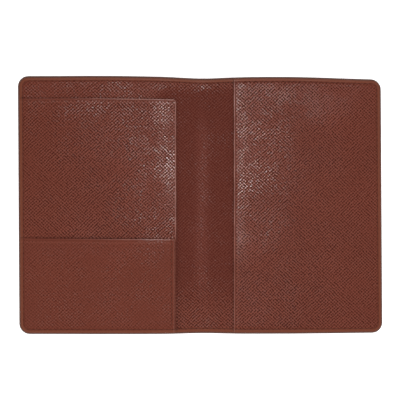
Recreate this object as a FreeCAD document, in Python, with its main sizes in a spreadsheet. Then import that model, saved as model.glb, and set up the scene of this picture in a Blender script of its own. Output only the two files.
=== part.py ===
import FreeCAD, Part
import math
import os
import Sketcher

# Passport holder, open flat with its pockets facing up.
# X runs across the open spread, +Y towards the top edge, +Z up.
# The origin is the middle of the outer cover's underside. All lengths are millimetres.

sizes = (
    ("spread_width", 199.0, "open holder, fore edge to fore edge"),
    ("spread_height", 140.0, "bottom edge to top edge"),
    ("corner_radius", 5.8, "rounded corners of the outer cover"),
    ("spine_width", 19.0, "between the two fold lines"),
    ("fold_gap", 0.3, "between neighbouring pieces at a fold line"),
    ("canvas_thickness", 0.6, "coated canvas of the outer cover"),
    ("board_thickness", 0.5, "stiffening board and spine strip"),
    ("turn_in_thickness", 0.4, "skived canvas turned in over the board"),
    ("turn_in_width", 9.0, "how far the canvas returns from the edge"),
    ("edge_wall", 0.8, "canvas bulk between the board's edge and the outer edge"),
    ("edge_rounding", 0.7, "nose radius of the turned canvas edge"),
    ("rim_width", 0.9, "canvas left showing round the lining"),
    ("lining_thickness", 0.6, "grained leather lining"),
    ("seat_clearance", 0.1, "round pieces that drop between others"),
    ("lay_gap", 0.3, "room under a pocket that holds nothing"),
    ("pocket_leather", 0.65, "grained leather of the pockets"),
    ("backing_thickness", 0.3, "backing glued behind the pocket leather"),
    ("turned_edge_width", 8.0, "leather turned back behind a free pocket edge"),
    ("turned_edge_rounding", 0.42, "nose radius of a turned pocket edge"),
    ("pocket_corner", 1.2, "corner radius of the pockets' turned edges"),
    ("pocket_edge_offset", 14.1, "left pocket's free edge from the centre line"),
    ("pocket_drop", 12.0, "left pocket's free top edge below the top edge"),
    ("card_pocket_height", 51.6, "card pocket's free edge above the bottom edge"),
    ("card_pocket_margin", 0.5, "card pocket's side from the left pocket's free edge"),
    ("sleeve_edge_offset", 17.4, "right sleeve's free edge from the centre line"),
    ("stitch_inset", 2.6, "perimeter seam from the outer edge"),
    ("card_stitch_inset", 2.1, "card pocket's side seam from its side"),
    ("channel_width", 0.7, "stitch channel"),
    ("channel_depth", 0.2, "stitch channel"),
    ("crease_inset", 0.9, "hot crease line from a free edge"),
    ("crease_width", 0.3, "hot crease line"),
    ("crease_depth", 0.12, "hot crease line"),
)

doc = FreeCAD.newDocument("passport_holder")
sheet = doc.addObject("Spreadsheet::Sheet", "Sizes")
for row, (alias, millimetres, meaning) in enumerate(sizes, start=1):
    sheet.set("A%d" % row, meaning)
    sheet.set("B%d" % row, str(millimetres))
    sheet.setAlias("B%d" % row, alias)
doc.recompute()


def number(expression):
    """Value of an expression on the sheet, in millimetres."""
    return float(sheet.evalExpression(expression))


def total(*expressions):
    return "(" + " + ".join(expressions) + ")"


def less(first, *others):
    return "(" + " - ".join((first,) + others) + ")"


def minus(expression):
    return "(-" + expression + ")"


# Plan positions, measured from the origin.
fore_edge = "(Sizes.spread_width / 2)"
top_edge = "(Sizes.spread_height / 2)"
bottom_edge = minus(top_edge)
fold_line = "(Sizes.spine_width / 2)"
half_gap = "(Sizes.fold_gap / 2)"
cover_start = total(fold_line, half_gap)
spine_end = less(fold_line, half_gap)
pocket_top = less(top_edge, "Sizes.pocket_drop")
card_top = total(bottom_edge, "Sizes.card_pocket_height")
card_side = total("Sizes.pocket_edge_offset", "Sizes.card_pocket_margin")

# Levels of the stack, measured up from the surface it lies on.
edge_thickness = total("Sizes.canvas_thickness", "Sizes.board_thickness", "Sizes.turn_in_thickness")
board_level = "Sizes.canvas_thickness"
filler_level = total("Sizes.canvas_thickness", "Sizes.board_thickness")
lining_level = edge_thickness
lining_top = total(lining_level, "Sizes.lining_thickness")
pocket_thickness = total("Sizes.pocket_leather", "Sizes.backing_thickness")
pocket_level = total(lining_top, "Sizes.lay_gap")
card_level = total(pocket_level, pocket_thickness, "Sizes.lay_gap")

# How far the two loops of a channel or crease run out past its piece, so that neither end closes.
outer_overrun = "Sizes.turn_in_width"
inner_overrun = "(Sizes.turn_in_width / 2)"

touching = 1e-4  # closer than any two separate edges

parts = []


def inset_radius(inset):
    """Corner radius of an outline that runs parallel to the outer edge."""
    return less("Sizes.corner_radius", inset)


def new_body(label, level):
    """Body for one piece of the stack, standing at its level."""
    body = doc.addObject("PartDesign::Body", label)
    body.Label = label
    body.setExpression("Placement.Base.z", level)
    parts.append(body)
    return body


def level_sketch(body, name, level):
    """Empty sketch parallel to the body's XY plane."""
    sketch = body.newObject("Sketcher::SketchObject", name)
    plane = [feature for feature in body.Origin.OriginFeatures if feature.Role == "XY_Plane"][0]
    sketch.AttachmentSupport = [(plane, "")]
    sketch.MapMode = "FlatFace"
    if level:
        sketch.setExpression("AttachmentOffset.Base.z", level)
    return sketch


def bind(sketch, constraint, name, expression):
    index = sketch.addConstraint(constraint)
    sketch.renameConstraint(index, name)
    sketch.setExpression("Constraints." + name, expression)


def place_side(sketch, direction, line, name, expression):
    """Ties a side to the origin, with the points in the order that keeps the distance positive."""
    distance = number(expression)
    if distance < 0:
        bind(sketch, Sketcher.Constraint(direction, line, 1, -1, 1, -distance), name, minus(expression))
    else:
        bind(sketch, Sketcher.Constraint(direction, -1, 1, line, 1, distance), name, expression)


def add_loop(sketch, name, left, right, bottom, top, radii=(None, None, None, None)):
    """Closed rectangle with its sides on the sheet's sizes.

    radii are those of the corners bottom left, bottom right, top right and top left.
    """
    x_low, x_high = number(left), number(right)
    y_low, y_high = number(bottom), number(top)
    corners = ((x_low, y_low), (x_high, y_low), (x_high, y_high), (x_low, y_high))
    directions = ((1, 0), (0, 1), (-1, 0), (0, -1))
    trims = [number(radius) if radius else 0.0 for radius in radii]
    lines = []
    for side in range(4):
        start, end = corners[side], corners[(side + 1) % 4]
        along = directions[side]
        before, after = trims[side], trims[(side + 1) % 4]
        first = FreeCAD.Vector(start[0] + along[0] * before, start[1] + along[1] * before, 0)
        last = FreeCAD.Vector(end[0] - along[0] * after, end[1] - along[1] * after, 0)
        line = sketch.addGeometry(Part.LineSegment(first, last), False)
        sketch.addConstraint(Sketcher.Constraint("Vertical" if side % 2 else "Horizontal", line))
        lines.append(line)
    for corner in range(4):
        before, after = lines[corner - 1], lines[corner]
        if not radii[corner]:
            sketch.addConstraint(Sketcher.Constraint("Coincident", before, 2, after, 1))
            continue
        radius = trims[corner]
        inward_x = 1 if corner in (0, 3) else -1
        inward_y = 1 if corner in (0, 1) else -1
        centre = FreeCAD.Vector(
            corners[corner][0] + inward_x * radius, corners[corner][1] + inward_y * radius, 0
        )
        circle = Part.Circle(centre, FreeCAD.Vector(0, 0, 1), radius)
        first_angle = (corner + 2) * math.pi / 2
        arc = sketch.addGeometry(Part.ArcOfCircle(circle, first_angle, first_angle + math.pi / 2), False)
        sketch.addConstraint(Sketcher.Constraint("Tangent", before, 2, arc, 1))
        sketch.addConstraint(Sketcher.Constraint("Tangent", arc, 2, after, 1))
        label = "%s_radius_%d" % (name, corner)
        bind(sketch, Sketcher.Constraint("Radius", arc, radius), label, radii[corner])
    place_side(sketch, "DistanceY", lines[0], name + "_bottom", bottom)
    place_side(sketch, "DistanceX", lines[1], name + "_right", right)
    place_side(sketch, "DistanceY", lines[2], name + "_top", top)
    place_side(sketch, "DistanceX", lines[3], name + "_left", left)


def add_plate(body, thickness, *outline):
    """Solid plate of the body, from its level up."""
    sketch = level_sketch(body, body.Name + "_outline", None)
    add_loop(sketch, "outline", *outline)
    pad = body.newObject("PartDesign::Pad", body.Name + "_plate")
    pad.Profile = sketch
    pad.setExpression("Length", thickness)
    sketch.Visibility = False
    doc.recompute()
    return pad


def cut_down(body, name, level, depth, *loops):
    """Pocket from a level of the body down by a depth; a second loop leaves an island."""
    before = body.Shape.Volume
    sketch = level_sketch(body, body.Name + "_" + name + "_outline", level)
    for index, loop in enumerate(loops):
        add_loop(sketch, "loop_%d" % index, *loop)
    pocket = body.newObject("PartDesign::Pocket", body.Name + "_" + name)
    pocket.Profile = sketch
    pocket.setExpression("Length", depth)
    sketch.Visibility = False
    doc.recompute()
    if body.Shape.Volume >= before:
        raise RuntimeError("%s took nothing off %s" % (name, body.Name))


def round_edges(body, name, radius, wanted):
    """Fillet on the edges that wanted() picks by their bounding box, in the body's own frame."""
    feature = body.Tip
    names = []
    for index, edge in enumerate(feature.Shape.Edges, start=1):
        if wanted(edge.BoundBox):
            names.append("Edge%d" % index)
    fillet = body.newObject("PartDesign::Fillet", body.Name + "_" + name)
    fillet.Base = (feature, names)
    fillet.setExpression("Radius", radius)
    doc.recompute()


def is_level(box):
    """True for an edge parallel to the XY plane."""
    return box.ZLength < touching


def is_flat_at(value, low, high):
    """True where both ends of an edge's span lie at one value."""
    return abs(low - value) < touching and abs(high - value) < touching


def side_span(side, inner, outer):
    """Left and right limits of a piece between two distances from the centre line."""
    return (minus(outer), minus(inner)) if side < 0 else (inner, outer)


def cover_radii(side, radius):
    """Corner radii of a piece whose outer corners follow the cover's."""
    return (radius, None, None, radius) if side < 0 else (None, radius, radius, None)


def channel_loops(side, inner_limit, top_limit):
    """Two loops that leave a stitch channel between them, running out past the inner and top limits."""
    near_side = less("Sizes.stitch_inset", "Sizes.channel_width / 2")
    far_side = total("Sizes.stitch_inset", "Sizes.channel_width / 2")
    loops = []
    for inset, overrun in ((near_side, outer_overrun), (far_side, inner_overrun)):
        span = side_span(side, less(inner_limit, overrun), less(fore_edge, inset))
        top = total(top_limit, overrun) if top_limit else less(top_edge, inset)
        radius = inset_radius(inset)
        radii = cover_radii(side, radius)
        if top_limit:
            radii = (radius, None, None, None)
        loops.append(span + (total(bottom_edge, inset), top, radii))
    return loops


def make_outer_cover(label, side):
    """Coated canvas of one cover: wraps the board's edge and returns under the lining."""
    body = new_body(label, "0")
    outline = side_span(side, cover_start, fore_edge)
    add_plate(body, edge_thickness, *outline, bottom_edge, top_edge, cover_radii(side, "Sizes.corner_radius"))
    fold = side * number(cover_start)
    round_edges(
        body,
        "turned_edge",
        "Sizes.edge_rounding",
        lambda box: is_level(box) and not is_flat_at(fold, box.XMin, box.XMax),
    )
    seat = side_span(side, fold_line + " / 2", less(fore_edge, "Sizes.edge_wall"))
    cut_down(
        body,
        "board_seat",
        filler_level,
        "Sizes.board_thickness",
        seat + (
            total(bottom_edge, "Sizes.edge_wall"),
            less(top_edge, "Sizes.edge_wall"),
            cover_radii(side, inset_radius("Sizes.edge_wall")),
        ),
    )
    window = side_span(side, fold_line + " / 2", less(fore_edge, "Sizes.turn_in_width"))
    cut_down(
        body,
        "turn_in_window",
        edge_thickness,
        "Sizes.turn_in_thickness",
        window + (total(bottom_edge, "Sizes.turn_in_width"), less(top_edge, "Sizes.turn_in_width")),
    )


def make_outer_spine():
    """Coated canvas between the fold lines, turned in at the top and bottom."""
    body = new_body("outer_cover_spine", "0")
    add_plate(body, edge_thickness, minus(spine_end), spine_end, bottom_edge, top_edge)
    height = number(top_edge)

    def at_either_end(box):
        return is_level(box) and is_flat_at(math.copysign(height, box.YMin), box.YMin, box.YMax)

    round_edges(body, "turned_edge", "Sizes.edge_rounding", at_either_end)
    for name, level, depth, inset in (
        ("strip_seat", filler_level, "Sizes.board_thickness", "Sizes.edge_wall"),
        ("turn_in_window", edge_thickness, "Sizes.turn_in_thickness", "Sizes.turn_in_width"),
    ):
        loop = (minus(fold_line), fold_line, total(bottom_edge, inset), less(top_edge, inset))
        cut_down(body, name, level, depth, loop)


def make_sheet(label, side, level, thickness, inset, radius):
    """Flat sheet inside one cover, parallel to its edge."""
    body = new_body(label, level)
    span = side_span(side, cover_start, less(fore_edge, inset))
    ends = (total(bottom_edge, inset), less(top_edge, inset))
    add_plate(body, thickness, *span, *ends, cover_radii(side, radius))
    return body


def make_spine_sheet(label, level, thickness, inset):
    body = new_body(label, level)
    add_plate(body, thickness, minus(spine_end), spine_end, total(bottom_edge, inset), less(top_edge, inset))
    return body


def make_stiffening():
    """Board and filler of each cover, and the softer strips of the spine."""
    board_inset = total("Sizes.edge_wall", "Sizes.seat_clearance")
    filler_inset = total("Sizes.turn_in_width", "Sizes.seat_clearance")
    radius = inset_radius(board_inset)
    for name, side in (("left", -1), ("right", 1)):
        make_sheet(name + "_board", side, board_level, "Sizes.board_thickness", board_inset, radius)
        make_sheet(name + "_filler", side, filler_level, "Sizes.turn_in_thickness", filler_inset, None)
    make_spine_sheet("spine_strip", board_level, "Sizes.board_thickness", board_inset)
    make_spine_sheet("spine_filler", filler_level, "Sizes.turn_in_thickness", filler_inset)


def make_linings():
    """Grained leather lining, with the seam channel of the perimeter pressed into it."""
    thickness, rim = "Sizes.lining_thickness", "Sizes.rim_width"
    for name, side in (("left", -1), ("right", 1)):
        body = make_sheet("lining_" + name, side, lining_level, thickness, rim, inset_radius(rim))
        loops = channel_loops(side, cover_start, None)
        cut_down(body, "seam_channel", thickness, "Sizes.channel_depth", *loops)
    body = make_spine_sheet("lining_spine", lining_level, thickness, rim)
    half_channel = "Sizes.channel_width / 2"
    seam = less(top_edge, "Sizes.stitch_inset")
    for name, low, high in (
        ("top_channel", less(seam, half_channel), total(seam, half_channel)),
        ("bottom_channel", minus(total(seam, half_channel)), minus(less(seam, half_channel))),
    ):
        loop = (minus(fold_line), fold_line, low, high)
        cut_down(body, name, thickness, "Sizes.channel_depth", loop)


def crease_loops(left, right, bottom, top, free_sides):
    """Two loops that leave a crease line between them along the free sides of a pocket."""
    loops = []
    for inset, overrun in (
        ("Sizes.crease_inset", outer_overrun),
        (total("Sizes.crease_inset", "Sizes.crease_width"), inner_overrun),
    ):
        x_low = total(left, inset) if "left" in free_sides else less(left, overrun)
        x_high = less(right, inset) if "right" in free_sides else total(right, overrun)
        y_high = less(top, inset) if "top" in free_sides else total(top, overrun)
        loops.append((x_low, x_high, less(bottom, overrun), y_high))
    return loops


def make_panel(label, level, outline, turned, rebate, backing, channel, crease):
    """Pocket leather with turned edges, and the backing that lies in the rebate behind it.

    turned picks the edges to round; the others are loops.
    """
    panel = new_body(label, level)
    add_plate(panel, pocket_thickness, *outline)
    round_edges(panel, "turned_edge", "Sizes.turned_edge_rounding", turned)
    cut_down(panel, "backing_rebate", "Sizes.backing_thickness", "Sizes.backing_thickness", rebate)
    cut_down(panel, "seam_channel", pocket_thickness, "Sizes.channel_depth", *channel)
    cut_down(panel, "crease", pocket_thickness, "Sizes.crease_depth", *crease)
    sheet_behind = new_body(label + "_backing", level)
    add_plate(sheet_behind, "Sizes.backing_thickness", *backing)


def make_left_pocket(label, level, side, top, channel, free_sides):
    """Pocket of the left cover: sewn into the perimeter seam, turned along its top and its side."""
    corner = inset_radius("Sizes.rim_width")
    left = minus(less(fore_edge, "Sizes.rim_width"))
    right = minus(side)
    bottom = total(bottom_edge, "Sizes.rim_width")
    turned_side = less(right, "Sizes.turned_edge_width")
    turned_top = less(top, "Sizes.turned_edge_width")
    reach_x = number(less(right, "Sizes.pocket_corner"))
    reach_y = number(less(top, "Sizes.pocket_corner"))

    def on_turned_edge(box):
        return is_level(box) and (box.XMin > reach_x - touching or box.YMin > reach_y - touching)

    make_panel(
        label,
        level,
        (left, right, bottom, top, (corner, None, "Sizes.pocket_corner", None)),
        on_turned_edge,
        (minus(fore_edge), turned_side, bottom_edge, turned_top),
        (
            left,
            less(turned_side, "Sizes.seat_clearance"),
            bottom,
            less(turned_top, "Sizes.seat_clearance"),
            (corner, None, None, None),
        ),
        channel,
        crease_loops(left, right, bottom, top, free_sides),
    )


def card_channel_loops():
    """Seam channel of the card pocket: up the fore edge, along the bottom and up its own side."""
    seam = less(minus(card_side), "Sizes.card_stitch_inset")
    half_channel = "Sizes.channel_width / 2"
    loops = []
    for grow, overrun in ((half_channel, outer_overrun), (minus(half_channel), inner_overrun)):
        inset = less("Sizes.stitch_inset", grow)
        loops.append(
            (
                minus(less(fore_edge, inset)),
                total(seam, grow),
                total(bottom_edge, inset),
                total(card_top, overrun),
                (inset_radius(inset), None, None, None),
            )
        )
    return loops


def make_passport_sleeve():
    """Full-height sleeve of the right cover, free only along the spine."""
    corner = inset_radius("Sizes.rim_width")
    radii = cover_radii(1, corner)
    left = "Sizes.sleeve_edge_offset"
    right = less(fore_edge, "Sizes.rim_width")
    bottom = total(bottom_edge, "Sizes.rim_width")
    top = less(top_edge, "Sizes.rim_width")
    turned_side = total(left, "Sizes.turned_edge_width")
    free_edge = number(left)
    make_panel(
        "passport_sleeve",
        pocket_level,
        (left, right, bottom, top, radii),
        lambda box: is_level(box) and is_flat_at(free_edge, box.XMin, box.XMax),
        (turned_side, fore_edge, bottom_edge, top_edge),
        (total(turned_side, "Sizes.seat_clearance"), right, bottom, top, radii),
        channel_loops(1, left, None),
        crease_loops(left, right, bottom, top, ("left",)),
    )


make_outer_cover("outer_cover_left", -1)
make_outer_spine()
make_outer_cover("outer_cover_right", 1)
make_stiffening()
make_linings()
pocket_channel = channel_loops(-1, "Sizes.pocket_edge_offset", pocket_top)
make_left_pocket(
    "passport_pocket", pocket_level, "Sizes.pocket_edge_offset", pocket_top, pocket_channel, ("right", "top")
)
make_left_pocket("card_pocket", card_level, card_side, card_top, card_channel_loops(), ("top",))
make_passport_sleeve()
doc.recompute()

for item in doc.Objects:
    if "Invalid" in item.State or "Error" in item.State:
        raise RuntimeError("%s failed: %s" % (item.Label, item.State))
for body in parts:
    if body.Shape.isNull() or not body.Shape.isValid() or len(body.Shape.Solids) != 1:
        raise RuntimeError("%s has no single valid solid" % body.Label)

os.makedirs("parts", exist_ok=True)
for body in parts:
    body.Shape.exportStep("parts/%s.step" % body.Label)
    box = body.Shape.BoundBox
    print(
        "%-26s %8.1f mm3  x %.2f..%.2f  y %.2f..%.2f  z %.2f..%.2f"
        % (body.Label, body.Shape.Volume, box.XMin, box.XMax, box.YMin, box.YMax, box.ZMin, box.ZMax)
    )
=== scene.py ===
import math
from functools import partial
import bpy
import numpy as np
from mathutils import Matrix, Vector


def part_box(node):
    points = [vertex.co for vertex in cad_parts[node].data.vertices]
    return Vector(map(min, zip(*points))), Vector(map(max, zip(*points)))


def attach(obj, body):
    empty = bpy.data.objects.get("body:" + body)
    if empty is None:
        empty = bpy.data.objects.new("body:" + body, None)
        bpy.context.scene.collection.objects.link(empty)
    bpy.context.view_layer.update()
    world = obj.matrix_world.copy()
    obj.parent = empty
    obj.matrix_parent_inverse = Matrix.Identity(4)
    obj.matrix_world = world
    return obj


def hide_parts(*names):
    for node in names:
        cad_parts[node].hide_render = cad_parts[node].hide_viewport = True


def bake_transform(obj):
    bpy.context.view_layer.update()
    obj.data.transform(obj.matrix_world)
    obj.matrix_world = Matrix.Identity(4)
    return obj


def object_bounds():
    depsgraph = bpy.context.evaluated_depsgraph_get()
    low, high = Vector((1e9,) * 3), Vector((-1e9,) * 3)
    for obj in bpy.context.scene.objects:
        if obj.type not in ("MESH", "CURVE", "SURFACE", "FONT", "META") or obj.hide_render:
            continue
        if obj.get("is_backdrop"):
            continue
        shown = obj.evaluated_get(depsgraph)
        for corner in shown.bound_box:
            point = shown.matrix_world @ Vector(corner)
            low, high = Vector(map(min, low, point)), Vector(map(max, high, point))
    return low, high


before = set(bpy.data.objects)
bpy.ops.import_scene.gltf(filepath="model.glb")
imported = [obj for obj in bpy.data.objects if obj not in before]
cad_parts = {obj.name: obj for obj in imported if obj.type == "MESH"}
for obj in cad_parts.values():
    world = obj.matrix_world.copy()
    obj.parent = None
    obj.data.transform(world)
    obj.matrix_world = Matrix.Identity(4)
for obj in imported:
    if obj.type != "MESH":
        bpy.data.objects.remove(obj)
cadLow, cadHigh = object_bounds()
mm = 0.001


def solid(node):
    low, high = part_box(node)
    return np.array(low) / mm, np.array(high) / mm


# The open holder as a whole, in millimetres.
holder = {
    "halfWidth": cadHigh.x / mm,
    "halfHeight": cadHigh.y / mm,
    "cornerRadius": 5.8,
    "seamInset": 2.75,  # sewing line in from the cover's edge
    "hollowReach": 24.0,  # the soft spine hangs between the two stiff covers
    "hollowDepth": 2.4,
    "foreEdgeRise": 0.5,
    "ridgeHeight": 0.65,  # lining pushed up along the middle of the spine
    "ridgeReach": 4.2,
    "ridgeWander": 0.5,
    "edgeDroop": 0.35,  # of a pocket's free edge over the hollow
    "cardHold": 0.8,  # less where the card pocket is sewn on
    "topPull": 0.35,  # the sagging spine draws its ends in
    "bottomPull": 0.07,
    "pullReach": 14.0,
    "leftSwell": 0.38,  # the covers' long edges bow out between their ends
    "rightSwell": 0.74,
    "swellBelow": 0.25,  # and less so along the bottom
    "skew": 0.0092,  # the covers lie a little out of square
    "foldStart": 16.5,  # the stack bends between here and foldEnd when it closes
    "foldEnd": 2.5,
    # where a sheet that crosses the spine is ruled
    "spineLines": [0, 0.8, 1.6, 2.4, 3.3, 4.3, 5.4, 6.6, 8, 10, 12, 14, 16, 18, 20, 22, 24],
}
halfWidth, halfHeight = holder["halfWidth"], holder["halfHeight"]


def eased(t):
    t = np.clip(t, 0, 1)
    return t * t * (3 - 2 * t)


def fromRim(x, y):  # how far in from the cover's rounded outline
    radius = holder["cornerRadius"]
    sideX = np.abs(x) - (halfWidth - radius)
    sideY = np.abs(y) - (halfHeight - radius)
    beyond = np.hypot(np.maximum(sideX, 0), np.maximum(sideY, 0))
    return radius - beyond - np.minimum(np.maximum(sideX, sideY), 0)


def coverLine(x):  # a stiff cover, straight from its fore edge to the spine
    drop = holder["hollowDepth"] - holder["foreEdgeRise"]
    slope = drop / (halfWidth - holder["hollowReach"])
    return holder["foreEdgeRise"] + slope * (halfWidth - np.abs(x))


def stackRise(x, y):
    return coverLine(x) * eased(np.abs(x) / holder["hollowReach"])


def panelRise(x, y):  # a pocket's free edge bridges the hollow and droops a little
    over = eased((holder["hollowReach"] - np.abs(x)) / holder["hollowReach"])
    held = np.where(x < 0, 1 - holder["cardHold"] * eased((50 - y) / 60), 1)
    return coverLine(x) * (1 - holder["edgeDroop"] * over * held)


def laid(x, y, z, rise):
    pull = np.where(y > 0, holder["topPull"], holder["bottomPull"])
    pull = pull * np.exp(-((x / holder["pullReach"]) ** 2)) * y / halfHeight
    swell = np.where(x > 0, holder["rightSwell"], holder["leftSwell"])
    swell = swell * np.where(y > 0, 1.0, holder["swellBelow"])
    swell = swell * np.sin(np.pi * np.abs(x) / halfWidth) ** 2 * y / halfHeight
    return np.stack([x - holder["skew"] * y, y - pull + swell, z + rise(x, y)], -1) * mm


def rulings(low, high, lowInsets, highInsets, step):
    first, last = low + lowInsets[-1], high - highInsets[-1]
    count = max(1, round((last - first) / step))
    middle = np.linspace(first, last, count + 1)[1:-1]
    return np.concatenate([low + np.array(lowInsets), middle, high - np.array(highInsets[::-1])])


def rounded(x, y, low, high, radii):  # square rings of the grid become rounded ones
    for (sideX, sideY), radius in radii.items():
        centreX = low[0] + radius if sideX < 0 else high[0] - radius
        centreY = low[1] + radius if sideY < 0 else high[1] - radius
        u, v = (x - centreX) * sideX, (y - centreY) * sideY
        inCorner = (u > 0) & (v > 0)
        ring = np.maximum(u, v)
        turn = np.minimum(u, v) / np.maximum(ring, 1e-9) * np.pi / 4
        turn = np.where(u >= v, turn, np.pi / 2 - turn)
        x = np.where(inCorner, centreX + sideX * ring * np.cos(turn), x)
        y = np.where(inCorner, centreY + sideY * ring * np.sin(turn), y)
    return x, y


# A sheet is a stack of levels. Each gap between two levels is filled over a band of distances
# from the sheet's cut edges or from its folded ones, so turned-in edges and rebates come out hollow.
def sheetMesh(name, cut, levels, gaps, rise):
    low, high = cut["low"], cut["high"]
    edgeLines = cut["insets"]
    spineLines = [line for line in holder["spineLines"] if line < (high[0] - low[0]) * 0.6]
    openSide = cut.get("open", 0)
    lowLines = spineLines if openSide < 0 else edgeLines
    highLines = spineLines if openSide > 0 else edgeLines
    lineX = rulings(low[0], high[0], lowLines, highLines, cut["step"])
    lineY = rulings(low[1], high[1], edgeLines, edgeLines, cut["step"])
    far = np.full(len(lineX), 1e3)
    inset = np.minimum(far if openSide < 0 else lineX - low[0], far if openSide > 0 else high[0] - lineX)
    inset = np.minimum(inset[:, None], np.minimum(lineY - low[1], high[1] - lineY)[None, :])
    gridX, gridY = np.meshgrid(lineX, lineY, indexing="ij")
    fold = foldDistance(gridX, gridY, cut)
    lean = cut.get("lean", lambda x, y: (x, y))
    layers = []
    for height, nose in levels:
        x, y = lineX.copy(), lineY.copy()
        x[0] += 0 if openSide < 0 else nose
        x[-1] -= 0 if openSide > 0 else nose
        y[0] += nose
        y[-1] -= nose
        x, y = rounded(*np.meshgrid(x, y, indexing="ij"), low, high, cut["radii"])
        layers.append((x, y, laid(*lean(x, y), height(x, y), rise)))
    filled = []
    for edge, start, end in gaps:
        band = inset if edge == "cut" else fold
        corners = np.stack([band[:-1, :-1], band[1:, :-1], band[:-1, 1:], band[1:, 1:]])
        filled.append((corners.min(0) >= start - 1e-6) & (corners.max(0) <= end + 1e-6))
    rows, columns = len(lineX), len(lineY)
    index = np.arange(rows * columns).reshape(rows, columns)
    quads = np.stack([index[:-1, :-1], index[1:, :-1], index[1:, 1:], index[:-1, 1:]], -1)
    nothing = np.zeros((rows - 1, columns - 1), bool)
    faces = []
    for level in range(len(levels)):
        below = filled[level - 1] if level else nothing
        above = filled[level] if level < len(filled) else nothing
        faces.append(quads[below & ~above] + level * rows * columns)
        faces.append(quads[above & ~below][:, ::-1] + level * rows * columns)
    for level, mask in enumerate(filled):
        ground, roof = index + level * rows * columns, index + (level + 1) * rows * columns
        padded = np.pad(mask, 1)
        west, east = padded[:-1, 1:-1], padded[1:, 1:-1]
        walls = np.stack([ground[:, :-1], ground[:, 1:], roof[:, 1:], roof[:, :-1]], -1)
        faces += [walls[west & ~east], walls[east & ~west][:, ::-1]]
        south, north = padded[1:-1, :-1], padded[1:-1, 1:]
        walls = np.stack([ground[:-1], roof[:-1], roof[1:], ground[1:]], -1)
        faces += [walls[south & ~north], walls[north & ~south][:, ::-1]]
    faces = np.concatenate(faces)
    used, faces = np.unique(faces, return_inverse=True)
    faces = faces.reshape(-1, 4)
    flatX = np.concatenate([layer[0].ravel() for layer in layers])[used]
    flatY = np.concatenate([layer[1].ravel() for layer in layers])[used]
    points = np.concatenate([layer[2].reshape(-1, 3) for layer in layers])[used]
    mesh = bpy.data.meshes.new(name)
    mesh.from_pydata(points.tolist(), [], faces.tolist())
    mesh.polygons.foreach_set("use_smooth", [True] * len(mesh.polygons))
    mesh.set_sharp_from_angle(angle=math.radians(62))
    shift = cut.get("grainShift", (0, 0))
    grain = (np.stack([flatX + shift[0], flatY + shift[1]], -1) * mm).astype(np.float32)
    mesh.uv_layers.new(name="grain").uv.foreach_set("vector", grain[faces.ravel()].ravel())
    # the distances are in millimetres, for wear, pressing, painted shade and painted highlight along the
    # edges
    marks = {
        "fromRim": fromRim(flatX, flatY),
        "fromFold": foldDistance(flatX, flatY, cut),
        "fromCreasedFold": foldDistance(flatX, flatY, cut, "creased"),
    }
    for label, even in (("workedAndShaded", 0), ("ridgeHighlight", 0), ("wearAndShine", 1), ("grainContrast", 1)):
        marks[label] = cut[label](flatX, flatY) if label in cut else np.full(len(flatX), even)
    for label, values in marks.items():
        mark = mesh.attributes.new(label, "FLOAT", "POINT")
        mark.data.foreach_set("value", values.astype(np.float32))
    return mesh


def foldDistance(x, y, cut, kind="folds"):  # distance from the nearest folded edge
    distance = np.full(np.shape(x), 50.0)
    for axis, side in cut.get(kind, ()):
        away = (x, y)[axis] - cut["low"][axis] if side < 0 else cut["high"][axis] - (x, y)[axis]
        distance = np.minimum(distance, away)
    return distance


def bullnose(bottom, top, radius):  # heights and setbacks of a rounded edge
    turns = [math.radians(a) for a in (-90, -45, 0)]
    lower = [(bottom + radius * (1 + math.sin(a)), radius * (1 - math.cos(a))) for a in turns]
    upper = [(top - radius * (1 + math.sin(a)), radius * (1 - math.cos(a))) for a in turns[::-1]]
    if top - bottom - 2 * radius < 1e-6:
        upper = upper[1:]
    return lower + upper


def between(base, top, share, less=0):
    return lambda x, y: share * top(x, y) + (1 - share) * base(x, y) - less


def inScene(name, data):
    made = bpy.data.objects.new(name, data)
    bpy.context.scene.collection.objects.link(made)
    return made


def addPiece(name, mesh, finish):
    piece = inScene(name, mesh)
    piece.data.materials.append(finish)
    return piece


def bendWithSpine(piece):
    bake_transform(piece)


def hexColour(code):
    parts = [int(code[i : i + 2], 16) / 255 for i in (1, 3, 5)]
    return [c / 12.92 if c <= 0.04045 else ((c + 0.055) / 1.055) ** 2.4 for c in parts] + [1]


def setInputs(node, inputs):  # each is a value, a node or one output of a node
    for key, given in inputs.items():
        if isinstance(given, bpy.types.Node):
            given = given.outputs[0]
        if isinstance(given, bpy.types.NodeSocket):
            node.id_data.links.new(given, node.inputs[key])
        else:
            node.inputs[key].default_value = given


def addNode(tree, kind, inputs=(), **settings):  # inputs by name, or listed from the top
    made = tree.nodes.new(kind)
    for key, value in settings.items():
        setattr(made, key, value)
    setInputs(made, inputs if isinstance(inputs, dict) else dict(enumerate(inputs)))
    return made


def setTones(ramp, tones):  # from the darkest stop to the lightest
    (first, dark), *others, (last, light) = tones.items()
    ramp.elements[0].position, ramp.elements[0].color = first, hexColour(dark)
    ramp.elements[1].position, ramp.elements[1].color = last, hexColour(light)
    for place, colour in others:
        ramp.elements.new(place).color = hexColour(colour)


def newFinish(name):
    finish = bpy.data.materials.new(name)
    finish.use_nodes = True
    tree = finish.node_tree
    return finish, partial(addNode, tree), tree.nodes["Principled BSDF"]


def asCut(add):  # where a point lies on its leather or cloth before it is folded, in millimetres
    uv = add("ShaderNodeUVMap", uv_map="grain")
    return add("ShaderNodeMapping", {"Vector": uv, "Scale": (1 / mm, 1 / mm, 1 / mm)})


def bandScale(pitch):  # Wave Texture scale that gives one band per pitch
    return 2 * math.pi / 20 / pitch


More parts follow.
